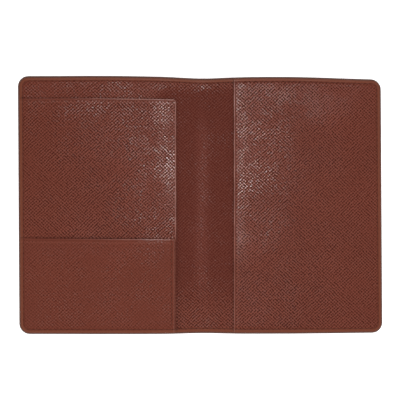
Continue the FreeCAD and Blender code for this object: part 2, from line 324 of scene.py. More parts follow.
# Cross-grain calf: chrome-tanned, pressed with crossing diagonal lines and sealed with a semi-gloss
# coat, so the ridges glint where the light catches them and the colour stays even.
leather = {
    "colour": "#6C372B",
    # valley and ridge: partly the leather's pigment, partly painted shade in the grooves and painted
    # highlight on the crests
    "valley": "#441B13",
    "ridge": "#7B4538",
    "stripWearAndHighlight": "#743F2C",
    "foldWearAndHighlight": "#8F5747",
    "pressedAndShadedGroove": "#3C160E",
    "workedAndShadedTone": "#592A22",  # darker over the spine and along the pocket's edge beside the card seam: partly wear, partly painted shade
    "ridgeHighlightTone": "#743E35",  # and lighter along its ridge: painted highlight where the ridge catches the light
    "dyePatch": 28,  # the dye takes unevenly over this distance
    "wearPatch": 13,  # and a fold's wear and painted highlight come in patches like this
    "linePitch": 1.3,  # real calf runs at 0.8; drawn coarser so that it shows
    "lineTurn": 47,  # degrees to either side
    "linePatch": 14,  # one direction of line fades into the other over this distance
    "waver": 1.0,  # how far the lines wander
    "waverPitch": 2.4,
    "broken": 0.35,  # how faint the lines get where they break up
    "brokenPitch": 1.3,
    "relief": 0.022,
    "pore": 0.5,
    "crestRoughness": 0.16,  # the crests are polished and the grooves hardly shine
    "valleyRoughness": 0.5,
    "crestSheen": 1.0,
    "valleySheen": 0.04,
    "foldPolish": 0.55,
    "stripSheen": 0.12,
    "foldSheen": 1.0,
    "workedSheen": 0.45,
    "evenSheen": 0.2,  # the grain's average
    "ior": 1.58,  # the sealing coat
}


def makeLeather():
    finish, add, shader = newFinish("crossGrainCalf")
    smooth = {"interpolation_type": "SMOOTHSTEP"}
    place = asCut(add)
    wander = add("ShaderNodeTexNoise", {"Vector": place, "Scale": 1 / leather["waverPitch"], "Detail": 2})
    centred = add("ShaderNodeVectorMath", [wander.outputs["Color"], (0.5, 0.5, 0.5)], operation="SUBTRACT")
    waver = (leather["waver"],) * 3
    wavered = add("ShaderNodeVectorMath", [centred, waver, place], operation="MULTIPLY_ADD")
    lines = []
    for side, offset in ((1, 0), (-1, 37)):
        turn = side * math.radians(leather["lineTurn"])
        turned = add("ShaderNodeMapping", {"Vector": wavered, "Rotation": (0, 0, turn)})
        spacing = {"Vector": turned, "Scale": bandScale(leather["linePitch"]), "Distortion": 0}
        ribs = add("ShaderNodeTexWave", spacing, bands_direction="X").outputs["Fac"]
        ribs = add("ShaderNodeMapRange", [ribs, 0.15, 0.85, -0.5, 0.5], **smooth)
        here = add("ShaderNodeMapping", {"Vector": place, "Location": (offset, offset, 0)})
        cloud = {"Vector": here, "Scale": 1 / leather["linePatch"], "Detail": 2.5}
        cloud = add("ShaderNodeTexNoise", cloud)
        cloud = add("ShaderNodeMapRange", [cloud, 0.38, 0.62, 0.5, 1], **smooth)
        here = add("ShaderNodeMapping", {"Vector": place, "Location": (0, offset, 9)})
        beads = {"Vector": here, "Scale": 1 / leather["brokenPitch"], "Detail": 0}
        beads = add("ShaderNodeTexNoise", beads)
        beads = add("ShaderNodeMapRange", [beads, 0.4, 0.6, leather["broken"], 1], **smooth)
        weight = add("ShaderNodeMath", [cloud, beads], operation="MULTIPLY")
        lines.append(add("ShaderNodeMath", [ribs, weight], operation="MULTIPLY"))
    rim, fold, creased, workedAndShaded, ridgeHighlight, wearAndShine, grainContrast = (
        add("ShaderNodeAttribute", attribute_name=mark).outputs["Fac"]
        for mark in ("fromRim", "fromFold", "fromCreasedFold", "workedAndShaded", "ridgeHighlight", "wearAndShine", "grainContrast")
    )
    # the grain is pressed flat beyond the seam and along a fold, and stretched out in the spine
    grain = add("ShaderNodeMath", lines, operation="ADD")
    for mark, start, end, low, high in (
        (rim, 1.8, 4.5, 0.25, 1),
        (fold, 0.4, 0.8, 0.1, 1),
        (creased, 1.0, 1.5, 0.1, 1),
        (workedAndShaded, 0, 1, 1, 0.75),
    ):
        kept = add("ShaderNodeMapRange", [mark, start, end, low, high], **smooth)
        grain = add("ShaderNodeMath", [grain, kept], operation="MULTIPLY")
    pores = {"Vector": place, "Scale": 1 / leather["pore"], "Detail": 2, "Roughness": 0.6}
    pores = add("ShaderNodeTexNoise", pores)
    pores = add("ShaderNodeMapRange", [pores, 0.3, 0.7, -0.2, 0.2])
    height = add("ShaderNodeMath", [grain, pores], operation="ADD")
    bump = add("ShaderNodeBump", {"Height": height, "Distance": leather["relief"] * mm})
    # dark in the grooves and light on the crests, partly pigment and partly painted shade and painted
    # highlight, over a dye that takes unevenly
    # the painted groove shade and crest highlight are scaled here; the relief stays the same
    depth = add("ShaderNodeMath", [height, grainContrast], operation="MULTIPLY")
    tone = add("ShaderNodeValToRGB", [add("ShaderNodeMath", [depth, 0.5], operation="ADD")])
    setTones(tone.color_ramp, {0: leather["valley"], 0.5: leather["colour"], 1: leather["ridge"]})
    dye = add("ShaderNodeTexNoise", {"Vector": place, "Scale": 1 / leather["dyePatch"], "Detail": 2})
    dye = add("ShaderNodeMapRange", [dye, 0, 1, 0.9, 1.1])
    layered = add("ShaderNodeHueSaturation", {"Value": dye, "Color": tone})
    wearAndHighlight = add("ShaderNodeTexNoise", {"Vector": place, "Scale": 1 / leather["wearPatch"], "Detail": 1})
    wearAndHighlight = add("ShaderNodeMapRange", [wearAndHighlight, 0.38, 0.6, 0.35, 0.9], **smooth)
    spared = add("ShaderNodeMapRange", [workedAndShaded, 0, 0.7, 1, 0.2], **smooth)
    for share in (wearAndShine, spared):
        wearAndHighlight = add("ShaderNodeMath", [wearAndHighlight, share], operation="MULTIPLY")
    # each band: where it is centred, how wide it stays full, and over what it fades
    for source, centre, full, fade, colour, share in (
        # darker spine, partly wear and partly painted shade, and painted shade on the pocket's edge beside
        # the card seam
        (workedAndShaded, 1, 0.1, 0.9, "workedAndShadedTone", 0.62),
        # painted highlight along the spine's ridge
        (ridgeHighlight, 1, 0, 0.9, "ridgeHighlightTone", 0.2),
        # lighter strip outside the seam: partly wear, partly painted highlight on the raised edge
        (rim, 1.1, 1.1, 0.35, "stripWearAndHighlight", 0.75),
        # darker seam groove: painted shade, partly leather darkened by the pressing
        (rim, holder["seamInset"], 0.2, 0.3, "pressedAndShadedGroove", 0.18),
        # lighter rolled edge: partly wear, partly painted highlight where the roll catches the light
        (fold, 0.15, 0.3, 0.3, "foldWearAndHighlight", wearAndHighlight),
        # darker crease line: painted shade, partly pressed leather
        (creased, 1.0, 0.3, 0.3, "pressedAndShadedGroove", 0.08),
        # light line beside the crease: painted highlight on the raised leather
        (creased, 2.1, 0.2, 0.5, "ridge", 0.3),
    ):
        away = add("ShaderNodeMath", [source, centre], operation="SUBTRACT")
        away = add("ShaderNodeMath", [away], operation="ABSOLUTE")
        band = add("ShaderNodeMapRange", [away, full, full + fade, 1, 0], **smooth)
        band = add("ShaderNodeMath", [band, share], operation="MULTIPLY")
        tints = {0: band, 6: layered, 7: hexColour(leather[colour])}
        layered = add("ShaderNodeMix", tints, data_type="RGBA").outputs[2]
    # rolled edges are burnished, and the spine is dull
    folded = add("ShaderNodeMapRange", [fold, 0.3, 0.6, 1, 0], **smooth)
    rough = [height, -0.3, 0.3, leather["valleyRoughness"], leather["crestRoughness"]]
    rough = add("ShaderNodeMapRange", rough, **smooth)
    dulled = add("ShaderNodeMapRange", [workedAndShaded, 0, 1, 0, 0.3], **smooth)
    rough = add("ShaderNodeMath", [rough, dulled], operation="ADD")
    polished = add("ShaderNodeMapRange", [folded, 0, 1, 1, leather["foldPolish"]], **smooth)
    rough = add("ShaderNodeMath", [rough, polished], operation="MULTIPLY")
    # the crests shine, most where the grain's contrast is high, and so does the strip outside the seam
    sheen = [height, 0.38, 0.76, leather["valleySheen"], leather["crestSheen"]]
    sheen = add("ShaderNodeMapRange", sheen, **smooth)
    matted = add("ShaderNodeMapRange", [workedAndShaded, 0, 0.5, 1, leather["workedSheen"]], **smooth)
    deep = add("ShaderNodeMapRange", [grainContrast, 0.5, 2, 0.4, 1])
    for share in (matted, deep):
        sheen = add("ShaderNodeMath", [sheen, share], operation="MULTIPLY")
    strip = add("ShaderNodeMapRange", [rim, 1.9, 2.5, leather["stripSheen"], 0], **smooth)
    worn = add("ShaderNodeMapRange", [workedAndShaded, 0, 0.7, leather["foldSheen"], 0], **smooth)
    for share in (folded, wearAndShine):
        worn = add("ShaderNodeMath", [worn, share], operation="MULTIPLY")
    for other in (strip, worn):
        sheen = add("ShaderNodeMath", [sheen, other], operation="MAXIMUM")
    setInputs(shader, {"Specular IOR Level": leather["evenSheen"], "IOR": leather["ior"]})
    setInputs(shader, {"Base Color": layered, "Normal": bump})
    setInputs(shader, {"Roughness": rough, "Specular IOR Level": sheen})
    return finish


# Coated canvas: cotton under a brown resin coat, so the weave is only just felt through it.
canvas = {
    "colour": "#664236",
    "shadow": "#482C22",
    "threadPitch": 0.9,  # cotton is nearer 0.5; drawn coarser so that it shows
    "threadWaver": 0.4,
    "pebble": 0.7,
    "relief": 0.04,
    "roughness": 0.6,
    "ior": 1.5,
}


def makeCanvas():
    finish, add, shader = newFinish("coatedCanvas")
    place = asCut(add)
    weave = {
        "Vector": place,
        "Scale": bandScale(canvas["threadPitch"]),
        "Distortion": canvas["threadWaver"],
        "Detail": 1,
    }
    warp = add("ShaderNodeTexWave", weave, bands_direction="X").outputs["Fac"]
    weft = add("ShaderNodeTexWave", weave, bands_direction="Y").outputs["Fac"]
    woven = add("ShaderNodeMath", [warp, weft], operation="MAXIMUM")
    pebble = add("ShaderNodeTexNoise", {"Vector": place, "Scale": 1 / canvas["pebble"], "Detail": 3})
    height = add("ShaderNodeMath", [woven, pebble], operation="ADD")
    bump = add("ShaderNodeBump", {"Height": height, "Distance": canvas["relief"] * mm})
    tone = add("ShaderNodeValToRGB", [add("ShaderNodeMath", [height, 0.5], operation="MULTIPLY")])
    setTones(tone.color_ramp, {0.15: canvas["shadow"], 0.75: canvas["colour"]})
    setInputs(shader, {"Base Color": tone, "Normal": bump})
    setInputs(shader, {"Roughness": canvas["roughness"], "IOR": canvas["ior"]})
    return finish


# Hidden layers: pressed grey board, bonded leather fibre, woven spine tape and pocket backing.
hiddenLayers = {
    "greyBoard": {"colour": "#8A8378", "speck": "#6E675D", "size": 0.6, "roughness": 0.85},
    "leatherFibre": {"colour": "#9B7A5C", "speck": "#7D5F45", "size": 0.9, "roughness": 0.8},
    "spineTape": {"colour": "#5B4A40", "speck": "#3F332C", "size": 0.5, "roughness": 0.9},
    "pocketBacking": {"colour": "#5A352B", "speck": "#43261F", "size": 0.5, "roughness": 0.85},
}
hiddenRelief = 0.03


def makeHidden(name):
    layer = hiddenLayers[name]
    finish, add, shader = newFinish(name)
    fibre = {"Vector": asCut(add), "Scale": 1 / layer["size"], "Detail": 4, "Roughness": 0.65}
    fibre = add("ShaderNodeTexNoise", fibre)
    tone = add("ShaderNodeValToRGB", [fibre])
    setTones(tone.color_ramp, {0.3: layer["speck"], 0.7: layer["colour"]})
    bump = add("ShaderNodeBump", {"Height": fibre, "Distance": hiddenRelief * mm})
    setInputs(shader, {"Base Color": tone, "Normal": bump, "Roughness": layer["roughness"]})
    return finish


# Bonded polyester thread: three waxed strands laid together, with a slight shine along the twist.
thread = {
    "colour": "#67311D",
    # darker between the strands: painted shade of the twist
    "twistShade": "#4C2013",
    "twist": 0.45,
    "twistTurn": 35,
    "relief": 0.05,
    "roughness": 0.7,
}


def makeThread():
    finish, add, shader = newFinish("bondedThread")
    place = add("ShaderNodeTexCoord").outputs["Object"]
    turn = {"Rotation": (0, 0, math.radians(thread["twistTurn"])), "Scale": (1 / mm, 1 / mm, 1 / mm)}
    turned = add("ShaderNodeMapping", {"Vector": place, **turn})
    spacing = {"Vector": turned, "Scale": bandScale(thread["twist"]), "Distortion": 0}
    strands = add("ShaderNodeTexWave", spacing).outputs["Fac"]
    tone = add("ShaderNodeValToRGB", [strands])
    setTones(tone.color_ramp, {0: thread["twistShade"], 0.6: thread["colour"]})
    bump = add("ShaderNodeBump", {"Height": strands, "Distance": thread["relief"] * mm})
    setInputs(shader, {"Base Color": tone, "Normal": bump, "Roughness": thread["roughness"]})
    return finish


# Painted shade for a needle hole: a dark disc sunk under the leather's face stands in for the hole's
# shadow.
holeShade = {"dark": "#2A0F09", "light": "#4A2016", "speck": 0.3, "roughness": 0.8}


def makeHoleShade():
    finish, add, shader = newFinish("holeShadeFinish")
    place = add("ShaderNodeTexCoord").outputs["Object"]
    speck = add("ShaderNodeTexNoise", {"Vector": place, "Scale": 1 / (holeShade["speck"] * mm)})
    tone = add("ShaderNodeValToRGB", [speck])
    setTones(tone.color_ramp, {0: holeShade["dark"], 1: holeShade["light"]})
    setInputs(shader, {"Base Color": tone, "Roughness": holeShade["roughness"]})
    return finish


calf = makeLeather()
coatedCanvas = makeCanvas()
hidden = {name: makeHidden(name) for name in hiddenLayers}
bondedThread = makeThread()
holeShadeFinish = makeHoleShade()
print("finishes made")


# Outer cover: one canvas, turned in round the boards, made in two halves that meet mid-spine.
cover = {
    "cloth": 0.6,
    "height": 1.5,
    "noseRadius": 0.7,
    "noseStep": 0.205,  # halfway round the nose
    "wall": 0.9,
    "turnIn": 9.0,
    "turnInUnderside": 1.1,
    "seamSink": 0.12,
}


def coverNose(z):
    radius = cover["noseRadius"]
    if z < radius:
        return radius - math.sqrt(radius**2 - (radius - z) ** 2)
    if z > cover["height"] - radius:
        return radius - math.sqrt(radius**2 - (z - cover["height"] + radius) ** 2)
    return 0


def flatAt(z):
    return lambda x, y: np.full(np.shape(x), z)


def coverUnderside(x, y):
    return cover["seamSink"] * np.exp(-(((fromRim(x, y) - holder["seamInset"]) / 0.35) ** 2))


whole = ("cut", 0, 1e4)  # a gap that is filled right across
coverHeights = [
    0,
    cover["noseStep"],
    cover["cloth"],
    cover["turnInUnderside"],
    cover["height"] - cover["noseStep"],
    cover["height"],
]
for side, name in ((-1, "outerCoverLeft"), (1, "outerCoverRight")):
    cut = {
        "low": (-halfWidth, -halfHeight) if side < 0 else (0, -halfHeight),
        "high": (0, halfHeight) if side < 0 else (halfWidth, halfHeight),
        "radii": {(side, -1): holder["cornerRadius"], (side, 1): holder["cornerRadius"]},
        "insets": [0, cover["wall"], 1.4, 2.0, 2.3, 2.6, 2.9, 3.2, 4.2, 5.8, 7.4, cover["turnIn"]],
        "step": 2.6,
        "open": -side,
    }
    levels = [(coverUnderside if z == 0 else flatAt(z), coverNose(z)) for z in coverHeights]
    turnedIn = ("cut", 0, cover["turnIn"])
    gaps = [whole, whole, ("cut", 0, cover["wall"]), turnedIn, turnedIn]
    piece = addPiece(name, sheetMesh(name, cut, levels, gaps, stackRise), coatedCanvas)
    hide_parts("outer_cover_left" if side < 0 else "outer_cover_right", "outer_cover_spine")
    bendWithSpine(piece)
print("outer cover turned in")


# Stiffening: boards and a spine strip under the canvas, fillers level with its turned edge.
stiffening = {"edge": 0.1, "insets": [0, 0.3, 2.0, 4.0]}
for node, side, layer, slotName in (
    ("left_board", -1, "greyBoard", "stiffening_board"),
    ("right_board", 1, "greyBoard", "stiffening_board"),
    ("left_filler", -1, "leatherFibre", "filler_sheet"),
    ("right_filler", 1, "leatherFibre", "filler_sheet"),
    ("spine_strip", -1, "spineTape", "spine_fabric"),
    ("spine_strip", 1, "spineTape", "spine_fabric"),
    ("spine_filler", -1, "leatherFibre", "filler_sheet"),
    ("spine_filler", 1, "leatherFibre", "filler_sheet"),
):
    low, high = solid(node)
    halved = node.startswith("spine")
    base, top, edge = low[2], high[2], stiffening["edge"]
    if halved:
        low, high = (low, np.array([0, high[1], 0])) if side < 0 else (np.array([0, low[1], 0]), high)
    radius = max(0, holder["cornerRadius"] - (halfHeight - high[1]))
    cut = {
        "low": low[:2],
        "high": high[:2],
        "radii": {} if halved or radius <= 0 else {(side, -1): radius, (side, 1): radius},
        "insets": stiffening["insets"],
        "step": 2.6,
        "open": -side if halved else 0,
    }
    heights = (base, base + edge, top - edge, top)
    levels = [(flatAt(z), setback) for z, setback in zip(heights, (edge, 0, 0, edge))]
    words = node.split("_")
    name = words[0] + words[1].capitalize()
    if halved:
        name += "Left" if side < 0 else "Right"
    mesh = sheetMesh(name, cut, levels, [whole] * 3, stackRise)
    piece = addPiece(name, mesh, hidden[layer])
    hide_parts(node)
    bendWithSpine(piece)
print("stiffening laid in")


# Lining: one leather, sewn over the turned canvas, pushed up in a soft ridge mid-spine.
lining = {
    "low": 1.5,
    "top": 2.1,
    "seamSink": 0.2,
    "seamWidth": 0.22,
    "skive": 0.12,  # thinned towards its cut edges
    "slack": 0.19,  # a slight fullness above the passport pocket
    "slackPlace": (-42, 60),
    "slackReach": (11, 5),
    "insets": [0, 0.4, 0.7, 1.0, 1.25, 1.5, 1.7, 1.9, 2.15, 2.4, 2.8, 3.4, 4.4, 6.0],
}


def spineRidge(x, y):
    wander = holder["ridgeWander"] * np.sin(y / 19)
    ends = eased((halfHeight - 3 - np.abs(y)) / 36)
    return holder["ridgeHeight"] * np.exp(-(((x - wander) / holder["ridgeReach"]) ** 2)) * ends


def perimeterSeam(x, y):
    away = (fromRim(x, y) - holder["seamInset"]) / lining["seamWidth"]
    return -lining["seamSink"] * np.exp(-(away**2))


def liningBase(x, y):
    return lining["low"] + spineRidge(x, y)


def liningTop(x, y):
    rolled = lining["skive"] * (1 - eased((fromRim(x, y) - 0.9) / 1.5))
    awayX = (x - lining["slackPlace"][0]) / lining["slackReach"][0]
    awayY = (y - lining["slackPlace"][1]) / lining["slackReach"][1]
    slack = lining["slack"] * np.exp(-(awayX**2) - awayY**2)
    return lining["top"] + spineRidge(x, y) + perimeterSeam(x, y) - rolled + slack


def workedAndShadedSpine(x, y):  # most in the middle and least at the foot, and less on the ridge, which is left lighter as painted highlight
    ends = eased((halfHeight - 2 - y) / 9) * eased((halfHeight - 2 + y) / 42)
    return eased((29 - np.abs(x)) / 12) * ends * (1 - 0.5 * ridgeCrest(x, y))


def ridgeCrest(x, y):
    return spineRidge(x, y) / holder["ridgeHeight"]


def liningGrainContrast(x, y):  # the grain's tone contrast, with its painted groove shade and crest highlight, and its sheen are strongest in the spine
    inward = 0.7 + 0.9 * eased((halfWidth - np.abs(x) - 12) / 45)
    return inward + 0.9 * workedAndShadedSpine(x, y) + 0.4 * ridgeCrest(x, y)


for side, name in ((-1, "liningLeft"), (1, "liningRight")):
    low, high = solid("lining_left" if side < 0 else "lining_right")
    radius = holder["cornerRadius"] - (halfHeight - high[1])
    cut = {
        "low": (low[0], low[1]) if side < 0 else (0, low[1]),
        "high": (0, high[1]) if side < 0 else (high[0], high[1]),
        "radii": {(side, -1): radius, (side, 1): radius},
        "insets": lining["insets"],
        "step": 2.2,
        "open": -side,
        "grainShift": (11, 5),
        "workedAndShaded": workedAndShadedSpine,
        "ridgeHighlight": ridgeCrest,
        "grainContrast": liningGrainContrast,
    }
    thickness = lining["top"] - lining["low"]
    levels = [
        (between(liningBase, liningTop, (z - lining["low"]) / thickness), nose)
        for z, nose in bullnose(lining["low"], lining["top"], thickness / 2)
    ]
    mesh = sheetMesh(name, cut, levels, [whole] * (len(levels) - 1), stackRise)
    piece = addPiece(name, mesh, calf)
    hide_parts("lining_left" if side < 0 else "lining_right", "lining_spine")
    bendWithSpine(piece)
print("lining laid")


# Pockets: leather with its free edges folded under, a backing glued in behind.
pocket = {
    "leather": 0.65,
    "backing": 0.3,
    "glue": 0.01,
    "foldWidth": 8.0,  # turned back behind a free edge
    "foldRadius": 0.3,
    "cornerRadius": 4.9,
    "freeCornerRadius": 1.7,
    "lie": 0.03,  # clearance over what is below
    "loft": 0.18,  # how far a pocket stands off between its seams
    # and how far more, this far in from its free edge: first in a quick roll, then slowly
    "leftBillow": ((7, 0.27), (24, 0.15)),
    "rightBillow": ((6, 0.2), (36, 0.4)),
    "bulge": 0.2,  # of the card pocket
    "mouth": 0.45,  # the card pocket's mouth stands open
    "press": 0.16,  # thinned by the sewing
    "roll": 0.1,  # rounded down to its cut edge
    "cardRoll": 0.12,
    "creaseInset": 1.0,
    "creaseWidth": 0.3,
    "creaseDepth": 0.05,
    "cardSeamInset": 2.1,
    "cardSeamWidth": 0.34,
    "step": 2.3,
    "insets": [0, 0.55, 0.75, 0.9, 1.05, 1.25, 1.45, 1.6, 1.75, 1.9, 2.05, 2.2]
    + [2.4, 2.9, 3.6, 4.6, 6.2, 8],
}
panel = pocket["leather"] + pocket["backing"]
pocketLow, pocketHigh = solid("passport_pocket")
cardLow, cardHigh = solid("card_pocket")
sleeveLow, sleeveHigh = solid("passport_sleeve")
cardSeam = cardHigh[0] - pocket["cardSeamInset"]


def pressedAndShadedStrip(x, y):  # the pocket's edge beside the card pocket's seam, pressed, with painted shade on it
    beside = 1 - eased((y - cardHigh[1] + 2) / 6)
    return 0.7 * eased((x - pocketHigh[0] + 1.3) / 0.8) * beside


def cornerWearAndShine(x, y):  # fold wear, painted highlight and sheen of the rolled edge, most towards the pocket's open corner
    return 0.15 + 0.75 * eased((x - pocketHigh[0] + 65) / 50)


def cardWearAndShine(x, y):
    return 0.55 * cornerWearAndShine(x, y)


def sleeveWearAndShine(x, y):  # most about halfway up
    return 0.55 + 0.4 * np.exp(-(((y - 10) / 45) ** 2))


def inwardGrainContrast(x, y):  # the grain's tone contrast, partly painted shade and highlight, and its sheen grow away from the fore edge
    return 0.95 + 1.25 * eased((halfWidth - np.abs(x)) / 60)


def cardGrainContrast(x, y):  # and are low on the card pocket
    return np.full(np.shape(x), 0.55)


# The free edges were folded a touch out of true: how far each leans for every millimetre along it,
# where that is counted from, and how far off the edge lies there.
leans = {
    "pocketSide": (0.006, 0, 0),
    "pocketTop": (0.0007, -55, 0.31),
    "cardSide": (0, 0, 0.45),
    "cardTop": (0.005, -60, -0.36),
    "sleeveSide": (0.0055, 0, -0.18),
}


def leaning(edge, along):
    slope, start, off = leans[edge]
    return slope * (along - start) + off


def pocketLean(x, y):
    up = eased((y - pocketLow[1]) / (pocketHigh[1] - pocketLow[1]))
    over = eased((x - pocketLow[0]) / (pocketHigh[0] - pocketLow[0]))
    return x + leaning("pocketSide", y) * over, y - leaning("pocketTop", x) * up


def cardLean(x, y):
    up = eased((y - cardLow[1]) / (cardHigh[1] - cardLow[1]))
    side = eased((x - cardHigh[0] + 1.7) / 1.5)
    return pocketLean(x, y)[0] - leaning("cardSide", y) * side, y - leaning("cardTop", x) * up


def sleeveLean(x, y):
    over = eased((sleeveHigh[0] - x) / (sleeveHigh[0] - sleeveLow[0]))
    return x + leaning("sleeveSide", y) * over, y


pocketCut = {
    "low": pocketLow[:2],
    "high": pocketHigh[:2],
    "radii": {(-1, -1): pocket["cornerRadius"], (1, 1): pocket["freeCornerRadius"]},
    "folds": ((0, 1), (1, 1)),
    "creased": ((1, 1),),
    "lean": pocketLean,
    "grainShift": (3, 61),
    "grainContrast": inwardGrainContrast,
    "workedAndShaded": pressedAndShadedStrip,
    "wearAndShine": cornerWearAndShine,
}
cardCut = {
    "low": cardLow[:2],
    "high": cardHigh[:2],
    "radii": {(-1, -1): pocket["cornerRadius"]},
    "folds": ((0, 1), (1, 1)),
    "creased": ((1, 1),),
    "lean": cardLean,
    "grainShift": (87, 23),
    "grainContrast": cardGrainContrast,
    "wearAndShine": cardWearAndShine,
}
sleeveCut = {
    "low": sleeveLow[:2],
    "high": sleeveHigh[:2],
    "radii": {(1, -1): pocket["cornerRadius"], (1, 1): pocket["cornerRadius"]},
    "folds": ((0, -1),),
    "creased": ((0, -1),),
    "lean": sleeveLean,
    "grainShift": (163, 41),
    "grainContrast": inwardGrainContrast,
    "wearAndShine": sleeveWearAndShine,
}


def pressedEdge(x, y):
    return pocket["press"] * (1 - eased((fromRim(x, y) - 2.2) / 2.5))


def pressed(x, y):
    rolled = pocket["roll"] * (1 - eased((fromRim(x, y) - 0.9) / 1.2))
    return perimeterSeam(x, y) - pressedEdge(x, y) - rolled


def crease(x, y, cut):
    away = foldDistance(x, y, cut, "creased") - pocket["creaseInset"]
    return -pocket["creaseDepth"] * np.exp(-((away / pocket["creaseWidth"]) ** 2))


def stoodOff(sewn, away, billow, held=1):
    rise = sum(height * eased(away / reach) for reach, height in billow)
    return (pocket["loft"] + held * rise) * eased((sewn - 3) / 22)


def closed(y, top):  # a mouth that lies nearly shut
    return 1 - 0.6 * eased((y - top + 16) / 16)


def pocketBase(x, y):
    sewn = np.minimum(x + halfWidth, y + halfHeight)
    # the card pocket sewn on below holds it flatter
    held = 0.3 + 0.7 * eased((y - cardHigh[1]) / 50)
    loft = stoodOff(sewn, pocketHigh[0] - x, pocket["leftBillow"], held)
    return lining["top"] + pocket["lie"] + loft * closed(y, pocketHigh[1])


def pocketTop(x, y):
    return pocketBase(x, y) + panel + pressed(x, y) + crease(x, y, pocketCut)


def cardBase(x, y):
    sewn = np.minimum(x + halfWidth, np.minimum(y + halfHeight, cardSeam - x))
    bulge = pocket["bulge"] + pocket["mouth"] * eased((y - cardHigh[1] + 12) / 12)
    below = pocketBase(x, y) + panel - pressedEdge(x, y)
    return below + pocket["lie"] + bulge * eased((sewn - 2) / 18)


def cardTop(x, y):
    seam = lining["seamSink"] * np.exp(-(((x - cardSeam) / pocket["cardSeamWidth"]) ** 2))
    rolled = pocket["cardRoll"] * (1 - eased((cardHigh[0] - x) / 1.4))
    return cardBase(x, y) + panel + pressed(x, y) - seam - rolled + crease(x, y, cardCut)


def sleeveBase(x, y):
    sewn = np.minimum(halfWidth - x, halfHeight - np.abs(y))
    loft = stoodOff(sewn, x - sleeveLow[0], pocket["rightBillow"])
    return lining["top"] + pocket["lie"] + loft


def sleeveTop(x, y):
    return sleeveBase(x, y) + panel + pressed(x, y) + crease(x, y, sleeveCut)


for name, node, cut, base, top, body in (
    ("passportPocket", "passport_pocket", pocketCut, pocketBase, pocketTop, "left_cover"),
    ("cardPocket", "card_pocket", cardCut, cardBase, cardTop, "left_cover"),
    ("passportSleeve", "passport_sleeve", sleeveCut, sleeveBase, sleeveTop, "right_cover"),
):
    cut["insets"], cut["step"] = pocket["insets"], pocket["step"]
    edge = bullnose(0, panel, pocket["foldRadius"])
    levels = [(between(base, top, z / panel), nose) for z, nose in edge]
    # the lowest gaps are only filled where the folded edge returns underneath
    folded = ("fold", 0, pocket["foldWidth"])
    gaps = [folded if z < pocket["backing"] + 1e-6 else whole for z, nose in edge[1:]]
    piece = addPiece(name, sheetMesh(name, cut, levels, gaps, panelRise), calf)
    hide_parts(node)
    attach(piece, body)
    wide, tall = cut["high"] - cut["low"]
    wide += pocket["foldWidth"]  # turned back behind its side
    tall += pocket["foldWidth"] if (1, 1) in cut["folds"] else 0  # and behind its top

    low, high = solid(node + "_backing")
    backingCut = {
        "low": low[:2],
        "high": high[:2],
        "radii": {corner: radius for corner, radius in cut["radii"].items() if radius > 2},
        "lean": cut["lean"],
        "insets": [0, 1.5, 3.0],
        "step": 2.6,
    }
    backingTop = between(base, top, pocket["backing"] / panel, pocket["glue"])
    levels = [(base, 0), (backingTop, 0)]
    mesh = sheetMesh(name + "Backing", backingCut, levels, [whole], panelRise)
    piece = addPiece(name + "Backing", mesh, hidden["pocketBacking"])
    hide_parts(node + "_backing")
    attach(piece, body)
    wide, tall = backingCut["high"] - backingCut["low"]
print("pockets folded and set")


# Sewing: lockstitches with a needle hole between each two, drawn as a dark disc of painted shade, one tree
# for both.
stitch = {
    "pitch": 3.0,
    "length": 2.4,
    "thickness": 0.42,
    "rise": 0.1,
    "slant": 4.0,  # degrees off the seam, and this many radians more or less
    "jitter": 0.05,
    "archSteps": 5,
    "sides": 6,
    "hole": 0.5,
    "holeRise": -0.35,  # sunk under the leather's face
    "bridge": 1.1,  # how far on either side of a step the thread feels it
    "pathSteps": {"along": 200, "corner": 14, "beside": 300, "card": 120},
    "seed": 7,
}


